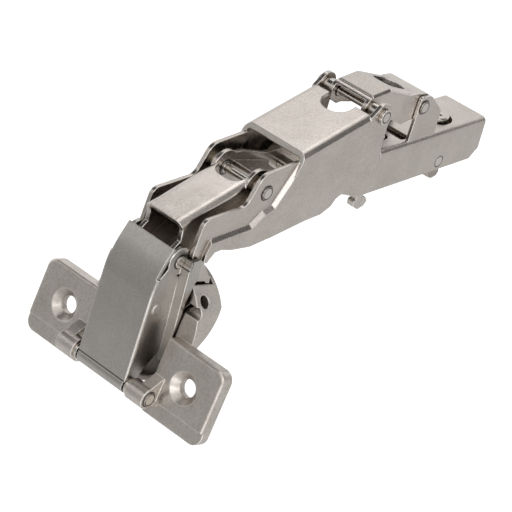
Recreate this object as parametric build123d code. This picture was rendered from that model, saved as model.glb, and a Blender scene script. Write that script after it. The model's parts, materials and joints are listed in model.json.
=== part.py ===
from build123d import *
import math
import os

os.makedirs("parts", exist_ok=True)

# Wide-angle concealed hinge, drawn fully open, in millimetres, +Z up.
# The origin is the middle of the arm's seat: the lower edges of the arm lie on z = 0,
# the arm runs along X, the door end is at -X and the hinge is symmetric about y = 0.
# Pivots are (x, z) points; every pivot pin runs along Y.

# Linkage pivots
PIVOT_F = (-5.0, 23.4)
PIVOT_E = (-29.2, 27.2)
PIVOT_C = (-72.2, 13.0)
PIVOT_H = (-99.8, -1.3)
PIVOT_A = (-109.4, -36.0)
# The fourth corner of the parallelogram F, E, C, D
PIVOT_D = (PIVOT_C[0] + PIVOT_F[0] - PIVOT_E[0], PIVOT_C[1] + PIVOT_F[1] - PIVOT_E[1])
# The cup's guide pin, and the middle of the open hook that rides round it
PIVOT_B = (-96.15, -14.35)
HOOK_B = (-93.55, -11.5)

# Sheet and pin sizes
SHEET = 1.25
PIN_R = 1.9
PIN_E_R = 1.35
PIN_E_WAIST = 0.9
PIN_C_WAIST = 1.1
PIN_H_R = 1.7
PIN_B_R = 1.5
RUN = 0.05
BUSH_R = 2.3
ROLL_R = 2.5

# Half widths of the nested pieces; each fits inside or outside its neighbour with a set gap
ARM_HALF = 8.4
OUTER_GAP = 1.3
ARM_SHEET = 1.2
LAP = 0.2
NEST_GAP = 0.65
LUG_SET_IN = 1.65
LINK_GAP = 0.15
LEVER_GAP = 0.3
FACE_LIP = 0.55
WALL_GAP = 0.25
OUTER_HALF = ARM_HALF + OUTER_GAP + SHEET
INNER_HALF = ARM_HALF - SHEET - NEST_GAP
LUG_IN = ARM_HALF - LUG_SET_IN
LUG_OUT = LUG_IN + 1.0
LINK_HALF = LUG_IN - LINK_GAP
RECESS_OUT = OUTER_HALF - SHEET + LAP
RECESS_IN = RECESS_OUT - ARM_SHEET
LEVER_HALF = RECESS_IN - LEVER_GAP
FACE_HALF = LEVER_HALF + FACE_LIP
STRIP_HALF = RECESS_OUT + WALL_GAP + ARM_SHEET
THROUGH = STRIP_HALF + 1.0

# Arm
ARM_TOP = 13.0
ARM_REAR = 30.0
ARM_WEB_FRONT = -21.0
CARRIER_TOP = 11.5
SIDE_SCREW_X = -14.0
DEPTH_SCREW_X = 14.0
LATCH_PIN = (10.3, 2.7)
LATCH_PIN_R = 1.5

# Cup and flange, in the flange's own axes: u across, v towards the door edge, n outwards
CUP_ORIGIN = (-104.5, 0, -30.5)
CUP_TILT = 15.0
HOLE_SPACING = 45.0
HOLE_R = 2.5
HOLE_SINK_R = 4.5
CUP_R = 17.5
CUP_OFFSET = 9.5
CUP_WALL = 1.5
CUP_DEPTH = 14.2
FLOOR_T = 1.2
SIDE_FLOOR = 6.4
POCKET_FLOOR = 8.0
FLANGE_T = 4.0
FLANGE_HALF = 32.9
FLANGE_TOP_V = 9.7
FLANGE_LOW_V = -12.1
LEDGE_V = -7.6
LUG_A_IN = LEVER_HALF + 1.8
LUG_A_OUT = LUG_A_IN + 6.0
WING_IN = STRIP_HALF + 1.45
ARM_SLOT_GAP = 0.35


def outline(points, radius=0.0):
    """Closed side-view face with rounded corners."""
    if radius:
        return make_face(FilletPolyline(*points, radius=radius, close=True))
    return make_face(Polyline(*points, close=True))


def disc(centre, radius):
    return Pos(centre[0], centre[1]) * Circle(radius)


def slab(face, y0, y1):
    """Side-view face given thickness from y0 to y1."""
    return extrude(Plane.XZ.offset(-y1) * face, amount=y1 - y0)


def pair(face, y0, y1):
    """The same plate on both sides of the hinge."""
    return slab(face, y0, y1) + slab(face, -y1, -y0)


def rod(centre, radius, half):
    return slab(disc(centre, radius), -half, half)


def channel(origin, angle, half, bend, drop, back, front):
    """Folded sheet of U section, open below, running along the X-Z plane."""
    tilt = math.radians(angle)
    run = Vector(math.cos(tilt), 0, math.sin(tilt))
    plane = Plane(origin=(origin[0], 0, origin[1]), x_dir=(0, 1, 0), z_dir=run).offset(-back)
    top = (Align.CENTER, Align.MAX)
    outer = Rectangle(2 * half, drop, align=top)
    outer = fillet(outer.vertices().group_by(Axis.Y)[-1], bend)
    inner = Pos(0, -SHEET) * Rectangle(2 * (half - SHEET), drop, align=top)
    inner = fillet(inner.vertices().group_by(Axis.Y)[-1], max(bend - SHEET, 0.3))
    return extrude(plane * (outer - inner), amount=back + front)


def save(name, shape):
    export_step(shape, "parts/" + name + ".step")


# Arm: folded channel, nose plates that carry pivot D and lugs that carry pivot F
arm_side = outline([(ARM_WEB_FRONT, 0), (26.5, 0), (ARM_REAR, 3), (ARM_REAR, ARM_TOP),
                    (ARM_WEB_FRONT, ARM_TOP)])
arm = channel((0, ARM_TOP), 0, ARM_HALF, 1.6, 20, 21, ARM_REAR)
arm = arm & slab(arm_side, -ARM_HALF, ARM_HALF)
nose = outline([(-48, 4.8), (-34.7, 2.6), (-27.5, 0), (-20, 0), (-20, 11.2), (-30, 11.2),
                (-47.2, 13.7)])
nose = nose + disc(PIVOT_D, 4.5)
arm = arm + pair(nose, ARM_HALF - SHEET, ARM_HALF)
lug = outline([(-8.2, 11.9), (-7.2, 26.9), (-2.3, 26.4), (4.4, 20.6), (4.4, 11.9)])
lug = fillet(lug.vertices().group_by(Axis.Y)[1:], 1.4)
arm = arm + pair(lug, LUG_IN, LUG_OUT)
arm = arm - rod(PIVOT_F, PIN_R, THROUGH) - rod(PIVOT_D, PIN_R, THROUGH) - rod(LATCH_PIN, LATCH_PIN_R, THROUGH)
# Openings in the web for the two adjusting screws
web_cut = Pos(SIDE_SCREW_X, 0) * Circle(3.7) + Pos(DEPTH_SCREW_X, 0) * Circle(5.8)
web_cut = web_cut + Pos(-7.2, 0) * RectangleRounded(4.2, 12.4, 0.8)
arm = arm - extrude(Plane.XY.offset(ARM_TOP - 2) * web_cut, amount=4)
save("arm_channel", arm)

# Carrier under the arm's web, with the seats of the two screws
carrier_side = outline([(-19, 1), (2, 1), (4, 5.5), (17, 5.5), (19, 1), (25, 1), (27, 4),
                        (27, CARRIER_TOP), (-19, CARRIER_TOP)])
carrier_half = ARM_HALF - SHEET - 0.1
carrier = channel((0, CARRIER_TOP), 0, carrier_half, 1.6, 20, 19, 27)
carrier = carrier & slab(carrier_side, -carrier_half, carrier_half)
screw_holes = Pos(SIDE_SCREW_X, 0) * Circle(2.05) + Pos(DEPTH_SCREW_X, 0) * Circle(2.05)
carrier = carrier - extrude(Plane.XY.offset(CARRIER_TOP - 2) * screw_holes, amount=4)
save("carrier", carrier)


def adjusting_screw(x, head_r, head_t, shank_end):
    """Flat-headed screw with a cross recess, standing on the carrier."""
    base = Plane.XY.offset(CARRIER_TOP)
    screw = extrude(base * Pos(x, 0) * Circle(head_r), amount=head_t)
    screw = chamfer(screw.edges().group_by(Axis.Z)[-1], 0.35)
    screw = screw + extrude(base * Pos(x, 0) * Circle(2.0), amount=shank_end - CARRIER_TOP)
    cross = Rectangle(head_r * 1.25, 0.9) + Rectangle(0.9, head_r * 1.25)
    return screw - extrude(base.offset(head_t - 1.0) * Pos(x, 0) * cross, amount=2)


save("side_screw", adjusting_screw(SIDE_SCREW_X, 3.1, 1.7, 3.0))
save("depth_screw", adjusting_screw(DEPTH_SCREW_X, 4.7, 2.8, 7.0))

# Front claw: the fixed hook that enters the mounting plate
claw_bar = outline([(-28.2, 0.8), (-20.2, 0.8), (-20.2, 6.5), (-28.2, 4.5)], 0.6)
claw = slab(claw_bar, -(ARM_HALF - SHEET), ARM_HALF - SHEET)
claw_stem = outline([(-25.0, -3.2), (-22.0, -3.2), (-22.0, 2), (-25.0, 2)])
claw_head = outline([(-25.8, -2.6), (-25.6, -4.4), (-23.2, -5.9), (-20.6, -5.4), (-19.4, -3.9),
                     (-20.6, -2.4), (-23.4, -2.0)], 0.55)
claw = claw + pair(claw_stem + claw_head, ARM_HALF - 3.8, ARM_HALF - 1.5)
save("front_claw", claw)

# Rear latch: turns on the latch pin and snaps under the mounting plate
latch_side = outline([(6.8, 0.6), (12.6, 0.6), (25.5, 4.0), (27.6, 4.6), (27.2, 6.2), (12.2, 5.2),
                      (8.2, 5.4), (6.4, 3.2)], 0.5)
latch_foot = outline([(7.6, 0.9), (8.2, -1.6), (9.6, -3.3), (11.2, -3.9), (13.6, -3.5), (14.3, -2.2),
                      (13.0, 0.9)], 0.5)
latch_half = carrier_half - SHEET - 0.4
latch = slab(latch_side, -latch_half, latch_half)
latch = latch + slab(latch_foot, -(ARM_HALF - 1.5), ARM_HALF - 1.5)
latch = latch - rod(LATCH_PIN, LATCH_PIN_R + RUN, THROUGH)
save("rear_latch", latch)
save("latch_pin", rod(LATCH_PIN, LATCH_PIN_R, ARM_HALF))

# Pin F joins the arm's lugs to the rear link, pin D joins the arm's nose to the inner channel
save("pin_f", rod(PIVOT_F, PIN_R, LUG_OUT + 0.5))
save("pin_d", rod(PIVOT_D, PIN_R, ARM_HALF))

# Rear link: short folded link between F and E
link_top = [(-29.5, 31.2), (-22.0, 31.9), (-8.0, 27.6)]
link_side = outline([link_top[0], link_top[1], link_top[2], (-5.0, 27.3), (-5.0, 19.5), (-8.9, 19.7),
                     (-12.9, 19.1), (-18.0, 21.5), (-27.0, 23.4), (-29.2, 23.3)])
link_side = link_side + disc(PIVOT_E, 3.4) + disc(PIVOT_F, 3.9)
link_hollow = outline([(-40, 29.0), (-29.4, 29.95), (-22.1, 30.63), (-8.4, 26.4), (5, 22.0), (5, 5),
                       (-40, 5)])
link = slab(link_side, -LINK_HALF, LINK_HALF)
link_edges = [e for e in link.edges()
              if abs(abs(e.center().Y) - LINK_HALF) < 0.01
              and e.geom_type == GeomType.LINE
              and e.center().Z > 29 and e.length > 5]
link = fillet(link_edges, 1.3)
link = link - slab(link_hollow, -(LINK_HALF - SHEET), LINK_HALF - SHEET)
facet_tilt = math.degrees(math.atan2(31.9 - 27.6, 14.0))
window = Plane(origin=(-14.2, 0, 29.5), x_dir=(0, 1, 0),
               z_dir=(math.sin(math.radians(facet_tilt)), 0, math.cos(math.radians(facet_tilt))))
link = link - extrude(window * RectangleRounded(8.4, 10.4, 3.8), amount=3, both=True)
link = link - rod(PIVOT_E, PIN_E_R, THROUGH) - rod(PIVOT_F, PIN_R + RUN, THROUGH)
save("rear_link", link)

# Pin E with its two bushes, between the rear link and the outer channel
pin_e = rod(PIVOT_E, PIN_E_WAIST, OUTER_HALF + 1.1)
pin_e = pin_e + pair(disc(PIVOT_E, PIN_E_R), LINK_HALF - SHEET - 0.4, OUTER_HALF + 1.1)
pin_e = pin_e + pair(disc(PIVOT_E, BUSH_R), OUTER_HALF + 0.05, OUTER_HALF + 1.1)
save("pin_e", pin_e)
bush_e = disc(PIVOT_E, BUSH_R) - disc(PIVOT_E, PIN_E_R)
save("bushes_e", pair(bush_e, LINK_HALF, OUTER_HALF - SHEET - 0.05))

# Outer channel: top plate and two main walls, with set-in arms that reach into the cup
RAMP = 13.6
PLATE_FRONT = (-60.0, 22.0)
PLATE_REAR_X = -34.5
plate_rise = math.tan(math.radians(RAMP))
plate_rear_z = PLATE_FRONT[1] + (PLATE_REAR_X - PLATE_FRONT[0]) * plate_rise
joggle = [(-61.2, 19.4), (-68.8, 8.6), (-72.2, 7.7), (-76.5, 4.6), (-90.6, 4.2)]
lower_edge = [(-91.5, 3.9), (-93.0, 0.2), (-93.3, -2.2), (-91.9, -2.4), (-89.6, 0.1), (-87.1, 0.2),
              (-82.7, -1.0), (-75.3, -2.0), (-66.4, -1.3), (-53.0, 0.3),
              (-46.7, 0.6), (-42.9, 2.2), (-41.4, 4.1), (-38.5, 5.6), (-35.8, 6.5), (PLATE_REAR_X, 6.6)]
front_wall = outline([PLATE_FRONT] + joggle + lower_edge + [(PLATE_REAR_X, plate_rear_z)])
outer = channel(PLATE_FRONT, RAMP, OUTER_HALF, 2.2, 60, 40, 40)
outer = outer & slab(front_wall, -OUTER_HALF, OUTER_HALF)
rear_wall = outline([(PLATE_REAR_X, plate_rear_z - 0.6), (PLATE_REAR_X, 6.6), (-30.6, 6.8),
                     (-28.0, 8.4), (-25.7, 11.3), (-25.5, 14.0), (-26.2, 17.0), (-25.9, 25.5),
                     (-29.2, 30.5), (-32.0, 29.5)])
rear_wall = rear_wall + disc(PIVOT_E, 3.6)
outer = outer + pair(rear_wall, OUTER_HALF - SHEET, OUTER_HALF)
joggle_edges = []
for start, end in zip(joggle[:-1], joggle[1:]):
    mid_x = (start[0] + end[0]) / 2
    mid_z = (start[1] + end[1]) / 2
    joggle_edges += [e for e in outer.edges()
                     if abs(abs(e.center().Y) - OUTER_HALF) < 0.01
                     and abs(e.center().X - mid_x) < 0.05 and abs(e.center().Z - mid_z) < 0.05]
outer = chamfer(joggle_edges, 1.0)
# The hook is open towards -X and leaves the guide pin room for its travel
hook_x, hook_z = HOOK_B
arm_top = FilletPolyline((-61.0, 19.6), (-75.0, 18.7), (-79.4, 10.6), (-95.2, 10.2), (-96.9, 1.0),
                         (-96.9, -6.9), radius=(4, 3.5, 2.5, 4))
arm_rest = Polyline((-96.9, -6.9), (-96.2, -7.5), (hook_x + 4.0, hook_z + 2.2),
                    (hook_x + 5.1, hook_z + 1.0), (hook_x + 5.1, hook_z - 0.8),
                    (hook_x + 4.1, hook_z - 1.8), (-95.5, -15.9), (-95.9, -17.5), (-88.9, -14.8),
                    (-87.2, -12.2), (-87.6, -8.9), (-91.6, -3.2), (-91.0, 0.0), (-90.2, 2.3),
                    (-76.0, 3.2), (-71.6, 6.4), (-68.0, 7.2), (-59.6, 19.2), (-61.0, 19.6))
set_in_arm = make_face(arm_top.edges() + arm_rest.edges())
outer = outer + pair(set_in_arm, RECESS_IN, RECESS_OUT)
outer = outer - rod(PIVOT_C, PIN_R, THROUGH) - rod(PIVOT_E, PIN_E_R + RUN, THROUGH)
notch = fillet(Rectangle(13.2, 9.6).vertices().group_by(Axis.X)[0], 4.4)
outer = outer - extrude(Plane.XY.offset(22) * Pos(-34.2, 0) * notch, amount=12)
save("outer_channel", outer)

# Pin C joins the outer channel's arms to the inner channel, waisted in the middle, with a spacer
# on each side
pin_c = rod(PIVOT_C, PIN_C_WAIST, RECESS_OUT + 0.45)
save("pin_c", pin_c + pair(disc(PIVOT_C, PIN_R), INNER_HALF - SHEET - 0.3, RECESS_OUT + 0.45))
spacer_c = disc(PIVOT_C, 2.9) - disc(PIVOT_C, PIN_R)
save("spacers_c", pair(spacer_c, INNER_HALF + 0.05, RECESS_IN))

# Inner channel: front plate between C and H, rear arms between C and D
INNER_RAMP = 14.6
INNER_FRONT = (-100.5, 9.2)
inner_rise = math.tan(math.radians(INNER_RAMP))
inner_rear_x = -75.8
inner_rear_z = INNER_FRONT[1] + (inner_rear_x - INNER_FRONT[0]) * inner_rise
inner_wall = outline([INNER_FRONT, (-99.0, 6.7), (-99.0, 3.4), (-102.3, 0.8), (-101.6, -4.1),
                      (-97.8, -4.0), (-93.0, -1.5), (-84.0, 4.5), (-76.0, 8.2), (-72.5, 8.0),
                      (-68.0, 10.3), (inner_rear_x, inner_rear_z)])
inner_wall = inner_wall + disc(PIVOT_H, 3.3) + disc(PIVOT_C, 5.0)
inner = channel(INNER_FRONT, INNER_RAMP, INNER_HALF, 2.0, 60, 20, 60)
front_zone = outline([(-108, -10), (inner_rear_x, -10), (inner_rear_x, 20), (-108, 20)])
inner = inner & slab(inner_wall & front_zone, -INNER_HALF, INNER_HALF)
rear_arm = outline([(inner_rear_x - 1.7, 12.0), (-74.0, 17.0), (-66.0, 16.6), (-56.0, 13.7), (-48.0, 13.7),
                    (-48.0, 4.8), (-60.0, 5.4), (-72.0, 8.0)])
rear_arm = rear_arm + disc(PIVOT_C, 5.0) + disc(PIVOT_D, 4.5)
inner = inner + pair(rear_arm, INNER_HALF - SHEET, INNER_HALF)
# Sloping web behind pin C, hollowed at its rear edge
rear_web = outline([(-69.6, 14.6), (-54.0, 11.0), (-54.0, 9.8), (-69.6, 13.3)])
rear_web = slab(rear_web, -INNER_HALF + 0.2, INNER_HALF - 0.2)
inner = inner + (rear_web - extrude(Pos(-52.5, 0) * Circle(5.0), amount=20))
# Rounded notch in the front plate's rear edge, and a floor that closes the front end below
notch_deep = 3.6
inner_cut = fillet(Rectangle(2 * notch_deep, 9.4).vertices().group_by(Axis.X)[0], 3.3)
inner = inner - extrude(Plane.XY.offset(13.4) * Pos(inner_rear_x, 0) * inner_cut, amount=6)
inner_floor = outline([(-96.6, -2.4), (-84.4, 4.9), (-84.4, 6.1), (-97.2, -1.4)])
inner = inner + slab(inner_floor, -INNER_HALF + 0.2, INNER_HALF - 0.2)
inner = inner - rod(PIVOT_H, PIN_H_R + RUN, THROUGH) - rod(PIVOT_C, PIN_R + RUN, THROUGH)
inner = inner - rod(PIVOT_D, PIN_R + RUN, THROUGH)
save("inner_channel", inner)

# Plate lever: face plate, inner walls to pivots H and A, and outward strips with outer walls
face_line = FilletPolyline((-102.5, 2.9), (-107.5, -4.9), (-111.0, -34.7), radius=22)
lever = slab(trace(face_line, 1.2), -FACE_HALF, FACE_HALF)
long_edges = [e for e in lever.edges() if e.length > 20 and abs(e.center().Y) > 1]
lever = fillet(ShapeList(long_edges).sort_by(Axis.X)[:2], 0.9)
# The tongue above the walls is narrower
tongue_side = outline([(-112, -4.8), (-100, -4.8), (-100, 6), (-112, 6)])
lever = lever - pair(tongue_side, FACE_HALF - 0.75, FACE_HALF + 1)
lever_wall = outline([(-107.6, -6.4), (-103.6, -2.5), (-99.0, -6.0), (-99.0, -20.0), (-99.6, -28.0),
                      (-105.5, -34.0), (-106.4, -36.0), (-110.6, -33.5)])
lever_wall = lever_wall + disc(PIVOT_H, 4.0) + disc(PIVOT_A, ROLL_R)
lever = lever + pair(lever_wall, LEVER_HALF - 1.2, LEVER_HALF)
# Rolled tube round pin A, and the small stop boss pressed out of each wall
lever = lever + slab(disc(PIVOT_A, ROLL_R), -LEVER_HALF, LEVER_HALF)
lever = lever + pair(disc((-104.9, -14.2), 1.5), LEVER_HALF - 0.3, LEVER_HALF + 0.35)
strip = outline([(-98.7, -0.5), (-99.65, -31.0), (-98.45, -31.0), (-97.5, -0.5)])
lever = lever + pair(strip, LEVER_HALF - 0.2, STRIP_HALF)
strip_wall = outline([(-98.7, -0.5), (-99.65, -31.0), (-98.45, -31.0), (-97.3, -13.0), (-96.0, -9.6),
                      (-95.2, -7.4), (-94.2, -5.6), (-94.2, -1.2), (-94.9, -0.5)])
lever = lever + pair(strip_wall, STRIP_HALF - ARM_SHEET, STRIP_HALF)
lever = lever - rod(PIVOT_H, PIN_H_R, THROUGH) - rod(PIVOT_A, PIN_R + RUN, THROUGH)
save("plate_lever", lever)

save("pin_h", rod(PIVOT_H, PIN_H_R, LEVER_HALF + 0.4))

# Cup: drum sunk in the door, screw flange, lugs for pin A and a block for the guide pin
tilt = math.radians(CUP_TILT)
cup_plane = Plane(origin=CUP_ORIGIN, x_dir=(0, -1, 0), z_dir=(-math.cos(tilt), 0, math.sin(tilt)))


def from_flange(face, n0, n1):
    """Face in the flange's u, v axes given thickness from n0 to n1."""
    return extrude(cup_plane.offset(n0) * face, amount=n1 - n0)


def across_flange(points, u0, u1):
    """Profile in v and n, given width from u0 to u1, on both sides."""
    side = Plane(origin=CUP_ORIGIN, x_dir=cup_plane.y_dir, z_dir=cup_plane.x_dir)
    return [extrude(side.offset(a) * make_face(Polyline(*points, close=True)), amount=u1 - u0)
            for a in (u0, -u1)]


def in_flange(point):
    """Flange coordinates v, n of a side-view point."""
    local = cup_plane.to_local_coords(Vector(point[0], 0, point[1]))
    return local.Y, local.Z


drum_centre = Pos(0, CUP_OFFSET)
drum = from_flange(drum_centre * Circle(CUP_R), -CUP_DEPTH, -FLANGE_T + 0.5)
hollow = from_flange(drum_centre * Circle(CUP_R - CUP_WALL), -CUP_DEPTH + FLOOR_T, 1)


def wedge(top, start, u0, u1):
    """What lies under the drum's sloping floor, from depth top down."""
    slope_end = start + (CUP_DEPTH + top) * 1.32
    points = [(-10, top), (start, top), (slope_end, -CUP_DEPTH), (slope_end, -20), (-10, -20)]
    return across_flange(points, u0, u1)


# The drum is deep at the door edge and shallow behind the hole line. Its sides are solid, and the
# middle pocket, where the hooks swing, is deeper
pocket_in = STRIP_HALF + ARM_SLOT_GAP
pocket_out = pocket_in + FLOOR_T
pocket = Pos(0, CUP_OFFSET) * Rectangle(2 * pocket_in, 2 * CUP_R)
hollow = hollow & from_flange(pocket, -CUP_DEPTH, 1)
hollow = hollow - wedge(-POCKET_FLOOR, 8.2, -pocket_in, pocket_in)[0]
drum = drum - hollow - wedge(-POCKET_FLOOR - FLOOR_T, 8.8, -pocket_out, pocket_out)[0]
for piece in wedge(-SIDE_FLOOR, 8.8, pocket_out, 20):
    drum = drum - piece
# Two slots let the outer channel's arms through the wall
slot_w = RECESS_OUT - RECESS_IN + 2 * ARM_SLOT_GAP
slot_u = (RECESS_OUT + RECESS_IN) / 2
for side in (1, -1):
    slot = Pos(side * slot_u, CUP_OFFSET + CUP_R - 2) * Rectangle(slot_w, 10)
    drum = drum - from_flange(slot, -CUP_DEPTH + FLOOR_T, 2)
wing_u = (FLANGE_HALF + WING_IN) / 2
wing_v = (FLANGE_TOP_V + FLANGE_LOW_V) / 2
wing_face = Rectangle(FLANGE_HALF - WING_IN, FLANGE_TOP_V - FLANGE_LOW_V)
wings = []
for side in (1, -1):
    outer_corners = wing_face.vertices().group_by(Axis.X)[-1 if side > 0 else 0]
    wing = from_flange(Pos(side * wing_u, wing_v) * fillet(outer_corners, 3.0), -FLANGE_T, 0)
    rim = [e for e in wing.edges()
           if abs(cup_plane.to_local_coords(e.center()).Z) < 0.01
           and abs(cup_plane.to_local_coords(e.center()).X) > WING_IN + 0.5]
    wing = fillet(rim, 0.9)
    ledge_v = (LEDGE_V + FLANGE_LOW_V) / 2 - 1
    ledge = Pos(side * wing_u, ledge_v) * Rectangle(40, LEDGE_V - FLANGE_LOW_V + 2)
    wing = wing - from_flange(ledge, -1.0, 1)
    wing = wing - from_flange(Pos(side * HOLE_SPACING / 2, 0) * Circle(HOLE_R), -9, 1)
    sink = cup_plane.location * Pos(side * HOLE_SPACING / 2, 0, -1.0)
    wing = wing - sink * Cone(HOLE_R, HOLE_SINK_R, 2.0)
    wings.append(wing)
cup = drum + wings[0] + wings[1]
a_v, a_n = in_flange(PIVOT_A)
lug_web = [(a_v - 2.2, -2.5), (a_v - 2.9, a_n), (a_v + 1.6, a_n + 2.4), (-0.6, -0.2), (-0.6, -2.5)]
for piece in across_flange(lug_web, WING_IN - 0.1, LUG_A_OUT):
    cup = cup + piece
cup = cup + pair(disc(PIVOT_A, 3.0), LUG_A_IN, LUG_A_OUT)
b_v, b_n = in_flange(PIVOT_B)
block = [(b_v - 6, -CUP_DEPTH + 1), (b_v - 2.7, b_n - 1), (b_v - 2.7, b_n + 1), (b_v - 1, b_n + 2.6),
         (b_v + 1.2, b_n + 2.6), (b_v + 2.7, b_n + 1), (b_v + 3.5, -CUP_DEPTH + 1)]
cup = cup + across_flange(block, -6.4, 6.4)[0]
cup = cup - rod(PIVOT_A, PIN_R, LUG_A_OUT + 4) - rod(PIVOT_B, PIN_B_R, LUG_A_OUT + 4)
wall_hole = cup_plane.from_local_coords(Vector(0, CUP_OFFSET, -7.0))
for side in (1, -1):
    aim = cup_plane.x_dir * (side * 13.7) + cup_plane.y_dir * 10.9
    cup = cup - extrude(Plane(origin=wall_hole, z_dir=aim) * Circle(1.85), amount=20)
save("cup", cup)

save("pin_a", rod(PIVOT_A, PIN_R, LUG_A_OUT + 0.4))
sleeve_a = disc(PIVOT_A, ROLL_R - 0.1) - disc(PIVOT_A, PIN_R)
save("sleeves_a", pair(sleeve_a, FACE_HALF + 0.1, LUG_A_IN))
save("pin_b", rod(PIVOT_B, PIN_B_R, RECESS_OUT + 0.1))
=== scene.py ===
import json
import math

import bpy
from mathutils import Matrix, Vector


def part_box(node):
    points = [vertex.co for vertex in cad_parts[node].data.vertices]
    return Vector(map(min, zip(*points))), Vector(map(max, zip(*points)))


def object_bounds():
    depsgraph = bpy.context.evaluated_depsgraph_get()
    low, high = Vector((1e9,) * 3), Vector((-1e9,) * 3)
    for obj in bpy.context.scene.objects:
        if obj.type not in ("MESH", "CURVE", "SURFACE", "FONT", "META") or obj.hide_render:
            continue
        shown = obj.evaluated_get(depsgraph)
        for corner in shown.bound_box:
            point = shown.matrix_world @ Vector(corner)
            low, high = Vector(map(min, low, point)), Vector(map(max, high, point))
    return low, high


# Lengths are in metres, in the hinge's own frame.
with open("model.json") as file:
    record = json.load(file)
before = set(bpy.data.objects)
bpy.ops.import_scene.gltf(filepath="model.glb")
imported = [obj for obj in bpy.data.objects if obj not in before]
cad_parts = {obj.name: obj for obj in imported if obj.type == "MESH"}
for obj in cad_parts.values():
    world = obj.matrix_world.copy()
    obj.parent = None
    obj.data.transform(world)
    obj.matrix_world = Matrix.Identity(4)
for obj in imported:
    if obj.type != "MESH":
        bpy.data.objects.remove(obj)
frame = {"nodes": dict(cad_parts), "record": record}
cad_bounds = [list(corner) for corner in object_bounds()]
nodes = frame["nodes"]
scene = bpy.context.scene

# Camera, fitted to the photograph's viewing angle
AZIMUTH = math.radians(-54.96)
ELEVATION = math.radians(28.42)
ROLL = math.radians(14.46)
DISTANCE = 0.5569
SHIFT_RIGHT = -0.00363
SHIFT_UP = -0.02390
LENS_MM = 146.31
SENSOR_MM = 36.0
CLIP_START = 0.01
AIM = Vector((-0.060, 0.0, 0.013))

back = Vector((math.sin(AZIMUTH) * math.cos(ELEVATION),
               -math.cos(AZIMUTH) * math.cos(ELEVATION),
               math.sin(ELEVATION)))
level_right = Vector((0, 0, 1)).cross(back).normalized()
level_up = back.cross(level_right)
right = level_right * math.cos(ROLL) + level_up * math.sin(ROLL)
up = level_up * math.cos(ROLL) - level_right * math.sin(ROLL)
eye = AIM + right * SHIFT_RIGHT + up * SHIFT_UP + back * DISTANCE
camera_data = bpy.data.cameras.new("camera")
camera_data.lens = LENS_MM
camera_data.sensor_width = SENSOR_MM
camera_data.clip_start = CLIP_START
camera = bpy.data.objects.new("camera", camera_data)
turn = Matrix((right, up, back)).transposed().to_4x4()
camera.matrix_world = Matrix.Translation(eye) @ turn
scene.collection.objects.link(camera)
scene.camera = camera


# Values shared by all the plated finishes. Stops are where a colour ramp starts and ends
WHITE = (1, 1, 1)
BLACK = (0, 0, 0)
CLOUD = dict(scale=90.0, detail=6.0, roughness=0.65)
CLOUD_STOPS = (0.30, 0.62)
CLOUD_RANGE = (0.3, 0.7)
SPECK = dict(detail=4.0, roughness=0.8)
SPECK_STOPS = (0.30, 0.55)
SPECK_DARK = (0.66, 0.65, 0.63)
SPECK_SHARE = 0.8
EDGE_SAMPLES = 6
# Painted highlight on the rounded edges: the stops of its mask and its colour
EDGE_HIGHLIGHT_STOPS = (0.80, 0.985)
EDGE_PAINTED_HIGHLIGHT = (0.95, 0.92, 0.88)
OCCLUSION_SAMPLES = 8
# Painted shade in the recesses, tinted brown: its reach, the stops of its mask and its colour
RECESS_SHADE_REACH = 0.008
RECESS_SHADE_STOPS = (0.08, 0.58)
RECESS_SHADE_BROWN = (0.30, 0.25, 0.18)
# Painted shade where pieces meet: its reach, the stops of its mask and its colour
CONTACT_SHADE_REACH = 0.0013
CONTACT_SHADE_STOPS = (0.12, 0.50)
CONTACT_SHADE_DARK = (0.12, 0.10, 0.08)
ROUGHER = 0.07
SMOOTHER = 0.05
GRAIN_DEPTH = 0.00006
FINE_GRAIN = 2600


# Short forms of the shader nodes that the finishes are made of

def ramp(tree, source, stops, first_colour, last_colour):
    """Colour ramp of two stops."""
    node = tree.nodes.new("ShaderNodeValToRGB")
    first, last = node.color_ramp.elements
    first.position, last.position = stops
    first.color = (*first_colour, 1)
    last.color = (*last_colour, 1)
    tree.links.new(source, node.inputs["Fac"])
    return node.outputs["Color"]


def mix(tree, blend, base):
    """Colour mix over a base; the caller sets its factor and its second colour."""
    node = tree.nodes.new("ShaderNodeMix")
    node.data_type = "RGBA"
    node.blend_type = blend
    tree.links.new(base, node.inputs["A"])
    return node


def darken(tree, base, shade, share=1.0):
    """Base colour multiplied by a shade."""
    node = mix(tree, "MULTIPLY", base)
    node.inputs["Factor"].default_value = share
    tree.links.new(shade, node.inputs["B"])
    return node.outputs["Result"]


def noise(tree, place, scale, detail, roughness):
    """Cloudy or speckled pattern that stays on the piece."""
    node = tree.nodes.new("ShaderNodeTexNoise")
    node.inputs["Scale"].default_value = scale
    node.inputs["Detail"].default_value = detail
    node.inputs["Roughness"].default_value = roughness
    tree.links.new(place, node.inputs["Vector"])
    return node.outputs["Fac"]


def occlusion(tree, reach):
    """1 in the open, less where other faces lie within reach."""
    node = tree.nodes.new("ShaderNodeAmbientOcclusion")
    node.samples = OCCLUSION_SAMPLES
    node.inputs["Distance"].default_value = reach
    return node.outputs["AO"]


def map_range(tree, value, start, end, start_value, end_value):
    """Value between two ends, turned into another value."""
    node = tree.nodes.new("ShaderNodeMapRange")
    node.inputs["From Min"].default_value = start
    node.inputs["From Max"].default_value = end
    node.inputs["To Min"].default_value = start_value
    node.inputs["To Max"].default_value = end_value
    tree.links.new(value, node.inputs["Value"])
    return node.outputs["Result"]


def maths(tree, kind, operation, first, second=None):
    """Math or VectorMath node; the second input is a link, a constant or unused."""
    node = tree.nodes.new("ShaderNode" + kind)
    node.operation = operation
    tree.links.new(first, node.inputs[0])
    if isinstance(second, bpy.types.NodeSocket):
        tree.links.new(second, node.inputs[1])
    elif second is not None:
        node.inputs[1].default_value = second
    return node


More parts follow.
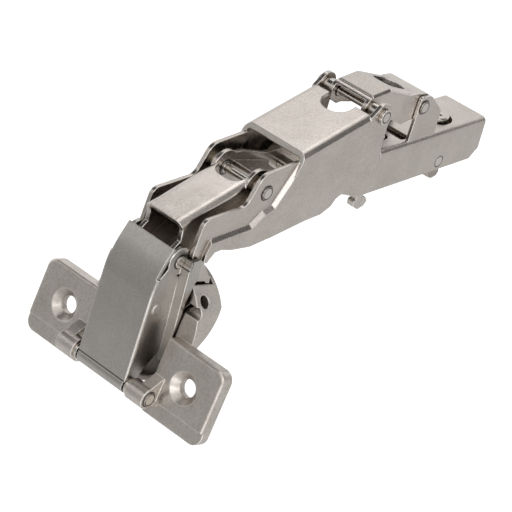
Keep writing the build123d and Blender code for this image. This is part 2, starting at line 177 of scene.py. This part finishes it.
# Painted shade in rings at the riveted pin ends: one outside each pin's edge, and one inside
# the edge of the pins that stand proud
RING_OUT = 0.00022
RING_IN = -0.00024
RINGED_PINS = ("pin_f", "pin_c", "pin_h", "pin_a", "latch_pin")
PROUD_PINS = ("pin_f", "pin_c", "pin_a")
# The shank of pin E shows as a ring of painted shade on its head
PIN_E_SHANK = 0.00135
# Seam where the lever's sheet, rolled round pin A, meets its own face, drawn as a line of painted
# shade: x and z from the pin's axis
ROLL_SEAM = (-0.00215, 0.00170)
# The lines are painted shade: darkest within the first width, fading out by the second
LINE_DARK_TO = 0.00010
LINE_FADES_BY = 0.00026
LINE_SHADE = 0.12


def pin_end(node):
    """A pin's axis, x and z, and its radius."""
    low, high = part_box(node)
    return (low.x + high.x) / 2, (low.z + high.z) / 2, (high.x - low.x) / 2


def dark_lines(name, rings):
    """Node group of painted shade: dark on rings about axes along Y, white elsewhere."""
    tree = bpy.data.node_groups.new(name, "ShaderNodeTree")
    tree.interface.new_socket("Vector", in_out="INPUT", socket_type="NodeSocketVector")
    tree.interface.new_socket("Color", in_out="OUTPUT", socket_type="NodeSocketColor")
    inlet = tree.nodes.new("NodeGroupInput")
    outlet = tree.nodes.new("NodeGroupOutput")
    side_view = maths(tree, "VectorMath", "MULTIPLY", inlet.outputs["Vector"], (1, 0, 1))
    nearest = None
    for x, z, radius in rings:
        apart = maths(tree, "VectorMath", "DISTANCE", side_view.outputs["Vector"], (x, 0, z))
        off = maths(tree, "Math", "SUBTRACT", apart.outputs["Value"], radius)
        off = maths(tree, "Math", "ABSOLUTE", off.outputs["Value"])
        if nearest is None:
            nearest = off
        else:
            nearest = maths(tree, "Math", "MINIMUM", nearest.outputs["Value"], off.outputs["Value"])
    shade = map_range(tree, nearest.outputs["Value"], LINE_DARK_TO, LINE_FADES_BY, LINE_SHADE, 1.0)
    tree.links.new(shade, outlet.inputs["Color"])
    return tree


pin_rings = []
for pin in RINGED_PINS:
    x, z, radius = pin_end(pin)
    pin_rings.append((x, z, radius + RING_OUT))
    if pin in PROUD_PINS:
        pin_rings.append((x, z, radius + RING_IN))
x, z, _ = pin_end("pin_e")
pin_rings.append((x, z, PIN_E_SHANK + RING_OUT))
# A line along Y is a ring of no size
x, z, _ = pin_end("pin_a")
roll_seam = (x + ROLL_SEAM[0], z + ROLL_SEAM[1], 0.0)
PIN_SHADE_LINES = dark_lines("pin_groove_shade", pin_rings)
LEVER_SHADE_LINES = dark_lines("lever_line_shade", pin_rings + [roll_seam])


def plated_metal(name, colour, dark, rough, grain, grain_scale, edge, recess_shade_share=1.0, lines=PIN_SHADE_LINES):
    """Nickel plate: mottled tone, fine grain, softly rounded edges with a painted highlight, and
    painted shade in recesses, at joins and along pin and seam lines.
    """
    material = bpy.data.materials.new(name)
    material.use_nodes = True
    tree = material.node_tree
    tree.nodes.clear()
    new = tree.nodes.new
    link = tree.links.new
    output = new("ShaderNodeOutputMaterial")
    shader = new("ShaderNodeBsdfPrincipled")
    shader.inputs["Metallic"].default_value = 1.0
    link(shader.outputs["BSDF"], output.inputs["Surface"])
    place = new("ShaderNodeTexCoord").outputs["Object"]
    # Cloudy tone of the plating, with fine specks
    cloud = noise(tree, place, **CLOUD)
    tone = ramp(tree, cloud, CLOUD_STOPS, dark, colour)
    speck = noise(tree, place, grain_scale, **SPECK)
    tone = darken(tree, tone, ramp(tree, speck, SPECK_STOPS, SPECK_DARK, WHITE), SPECK_SHARE)
    # Painted highlight on the edges: brighter where the rounded normal leaves the flat one
    rounded = new("ShaderNodeBevel")
    rounded.samples = EDGE_SAMPLES
    rounded.inputs["Radius"].default_value = edge
    flat = new("ShaderNodeNewGeometry")
    facing = maths(tree, "VectorMath", "DOT_PRODUCT", rounded.outputs["Normal"], flat.outputs["Normal"])
    edge_highlight = mix(tree, "MIX", tone)
    edge_highlight.inputs["B"].default_value = (*EDGE_PAINTED_HIGHLIGHT, 1)
    link(ramp(tree, facing.outputs["Value"], EDGE_HIGHLIGHT_STOPS, WHITE, BLACK), edge_highlight.inputs["Factor"])
    tone = edge_highlight.outputs["Result"]
    # Painted shade in the recesses, tinted brown
    recess_shade = ramp(tree, occlusion(tree, RECESS_SHADE_REACH), RECESS_SHADE_STOPS, RECESS_SHADE_BROWN, WHITE)
    tone = darken(tree, tone, recess_shade, recess_shade_share)
    # Painted shade: a thin dark line where pieces meet, and the painted shade lines at pins and seams
    contact_shade = ramp(tree, occlusion(tree, CONTACT_SHADE_REACH), CONTACT_SHADE_STOPS, CONTACT_SHADE_DARK, WHITE)
    tone = darken(tree, tone, contact_shade)
    drawn = new("ShaderNodeGroup")
    drawn.node_tree = lines
    link(place, drawn.inputs["Vector"])
    tone = darken(tree, tone, drawn.outputs["Color"])
    link(tone, shader.inputs["Base Color"])
    # Dark clouds are rougher
    gloss = map_range(tree, cloud, *CLOUD_RANGE, rough + ROUGHER, rough - SMOOTHER)
    link(gloss, shader.inputs["Roughness"])
    # Surface grain over the rounded edges
    bump = new("ShaderNodeBump")
    bump.inputs["Strength"].default_value = grain
    bump.inputs["Distance"].default_value = GRAIN_DEPTH
    link(speck, bump.inputs["Height"])
    link(rounded.outputs["Normal"], bump.inputs["Normal"])
    link(bump.outputs["Normal"], shader.inputs["Normal"])
    return material


# Finish of each material slot: colour, its darker clouds, roughness, grain and width of the rounded
# edges, which carry a painted highlight
FINISHES = {
    "nickel_sheet": dict(colour=(0.60, 0.55, 0.51), dark=(0.52, 0.475, 0.435), rough=0.24,
                         grain=0.4, grain_scale=FINE_GRAIN, edge=0.0004),
    "carrier_steel": dict(colour=(0.42, 0.38, 0.33), dark=(0.34, 0.30, 0.26), rough=0.26,
                          grain=0.3, grain_scale=FINE_GRAIN, edge=0.0003),
    # lever_plate's darker colour is painted shade, standing in for the darker reflection on the lever's
    # face
    "lever_plate": dict(colour=(0.50, 0.478, 0.45), dark=(0.44, 0.416, 0.385), rough=0.30,
                        grain=0.3, grain_scale=FINE_GRAIN, edge=0.0004,
                        recess_shade_share=0.15, lines=LEVER_SHADE_LINES),
    "cup_casting": dict(colour=(0.63, 0.583, 0.541), dark=(0.515, 0.473, 0.43), rough=0.34,
                        grain=0.9, grain_scale=1500, edge=0.0005),
    "claw_casting": dict(colour=(0.66, 0.62, 0.57), dark=(0.56, 0.52, 0.48), rough=0.36,
                         grain=0.5, grain_scale=1800, edge=0.0004),
    "pin_steel": dict(colour=(0.68, 0.64, 0.59), dark=(0.58, 0.54, 0.49), rough=0.20,
                      grain=0.2, grain_scale=FINE_GRAIN, edge=0.0003),
    "screw_steel": dict(colour=(0.64, 0.60, 0.54), dark=(0.54, 0.50, 0.45), rough=0.22,
                        grain=0.2, grain_scale=FINE_GRAIN, edge=0.0003),
}
materials = {slot: plated_metal(slot, **values) for slot, values in FINISHES.items()}
for entry in frame["record"]["subparts"]:
    mesh = nodes[entry["node"]].data
    mesh.materials.clear()
    mesh.materials.append(materials[entry["material_slot"]])


def add_plane(name, centre, across, along, width, height):
    """Flat card: corners from its middle and two directions."""
    a = Vector(across).normalized() * width / 2
    b = Vector(along).normalized() * height / 2
    c = Vector(centre)
    mesh = bpy.data.meshes.new(name)
    mesh.from_pydata([c - a - b, c + a - b, c + a + b, c - a + b], [], [(0, 1, 2, 3)])
    card = bpy.data.objects.new(name, mesh)
    scene.collection.objects.link(card)
    return card


CARD_ROUGHNESS = 0.9


def matt(name, tone):
    """Plain grey paint for a card."""
    material = bpy.data.materials.new(name)
    material.use_nodes = True
    shader = material.node_tree.nodes["Principled BSDF"]
    shader.inputs["Base Color"].default_value = (tone, tone, tone, 1)
    shader.inputs["Roughness"].default_value = CARD_ROUGHNESS
    return material


# Floor: pale, and white to the camera except where the hinge shades it
FLOOR_DROP = 0.075
FLOOR_SIZE = 8
FLOOR_TONE = 0.86
FLOOR_GLOW = 0.55
FLOOR_Z = cad_bounds[0][2] - FLOOR_DROP
floor = add_plane("floor", (0, 0, FLOOR_Z), (1, 0, 0), (0, 1, 0), FLOOR_SIZE, FLOOR_SIZE)
floor_paint = bpy.data.materials.new("floor_paint")
floor_paint.use_nodes = True
tree = floor_paint.node_tree
tree.nodes.clear()
output = tree.nodes.new("ShaderNodeOutputMaterial")
pale = tree.nodes.new("ShaderNodeBsdfDiffuse")
pale.inputs["Color"].default_value = (FLOOR_TONE, FLOOR_TONE, FLOOR_TONE, 1)
glow = tree.nodes.new("ShaderNodeEmission")
glow.inputs["Strength"].default_value = FLOOR_GLOW
both = tree.nodes.new("ShaderNodeAddShader")
tree.links.new(pale.outputs["BSDF"], both.inputs[0])
tree.links.new(glow.outputs["Emission"], both.inputs[1])
seen = tree.nodes.new("ShaderNodeLightPath")
choose = tree.nodes.new("ShaderNodeMixShader")
tree.links.new(seen.outputs["Is Camera Ray"], choose.inputs["Fac"])
tree.links.new(pale.outputs["BSDF"], choose.inputs[1])
tree.links.new(both.outputs["Shader"], choose.inputs[2])
tree.links.new(choose.outputs["Shader"], output.inputs["Surface"])
floor.data.materials.append(floor_paint)

# World: white to the camera and in reflections, softer as fill light
WHITE_STRENGTH = 1.0
FILL_STRENGTH = 0.7
world = bpy.data.worlds.new("studio")
scene.world = world
world.use_nodes = True
tree = world.node_tree
tree.nodes.clear()
output = tree.nodes.new("ShaderNodeOutputWorld")
white = tree.nodes.new("ShaderNodeBackground")
white.inputs["Color"].default_value = (*WHITE, 1)
white.inputs["Strength"].default_value = WHITE_STRENGTH
fill = tree.nodes.new("ShaderNodeBackground")
fill.inputs["Color"].default_value = (*WHITE, 1)
fill.inputs["Strength"].default_value = FILL_STRENGTH
seen = tree.nodes.new("ShaderNodeLightPath")
shown = maths(tree, "Math", "MAXIMUM", seen.outputs["Is Camera Ray"], seen.outputs["Is Glossy Ray"])
shown = maths(tree, "Math", "MAXIMUM", shown.outputs["Value"], seen.outputs["Is Transmission Ray"])
choose = tree.nodes.new("ShaderNodeMixShader")
tree.links.new(shown.outputs["Value"], choose.inputs["Fac"])
tree.links.new(fill.outputs["Background"], choose.inputs[1])
tree.links.new(white.outputs["Background"], choose.inputs[2])
tree.links.new(choose.outputs["Shader"], output.inputs["Surface"])


def add_lamp(name, place, aim, width, height, watts):
    """Rectangular soft lamp."""
    lamp = bpy.data.lights.new(name, "AREA")
    lamp.shape = "RECTANGLE"
    lamp.size = width
    lamp.size_y = height
    lamp.energy = watts
    item = bpy.data.objects.new(name, lamp)
    item.location = place
    item.rotation_euler = (Vector(aim) - Vector(place)).to_track_quat("-Z", "Y").to_euler()
    scene.collection.objects.link(item)


HINGE_MIDDLE = (-0.05, 0.0, 0.0)
LEVER_SIDE = (-0.105, -0.02, -0.02)
add_lamp("key", (0.10, 0.25, 0.75), HINGE_MIDDLE, 0.5, 0.5, watts=0.8)
add_lamp("side", (-0.45, -0.65, 0.45), HINGE_MIDDLE, 0.4, 0.4, watts=1.2)
add_lamp("rim", (-0.22, -0.16, -0.115), LEVER_SIDE, 0.16, 0.12, watts=0.12)

# Cards out of the picture, seen only in the metal. The left and the low one tone the lever's face and
# the flange, the third shades edges that face up at the door end, and the last draws the line along
# each fold. Name, tone, middle, the way it faces, its upward direction, width and height
CARD_LIFT = 0.002
CARDS = (
    ("card_left", 0.64, (-0.60, 0.20, 0.085), (1, 0, 0), (0, 0, 1), 0.9, 0.41),
    ("card_low", 0.43, (-0.46, 0.20, FLOOR_Z + CARD_LIFT), (0, 0, 1), (0, 1, 0), 0.30, 0.50),
    ("card_edges", 0.03, (-0.16, 0.32, 0.50), (0.20, -0.50, -0.84), (0.15, 0.86, -0.48), 0.54, 0.40),
    ("card_folds", 0.16, (0.36, -0.34, 0.36), (-0.57, 0.56, -0.58), (-0.19, 0.649, 0.789), 0.44, 0.66),
)
for name, tone, centre, facing, upward, width, height in CARDS:
    across = Vector(upward).cross(Vector(facing))
    card = add_plane(name, centre, across, upward, width, height)
    card.data.materials.append(matt(name, tone))
    card.visible_camera = False
    card.visible_shadow = False
    card.visible_diffuse = False

scene.view_settings.view_transform = "Standard"
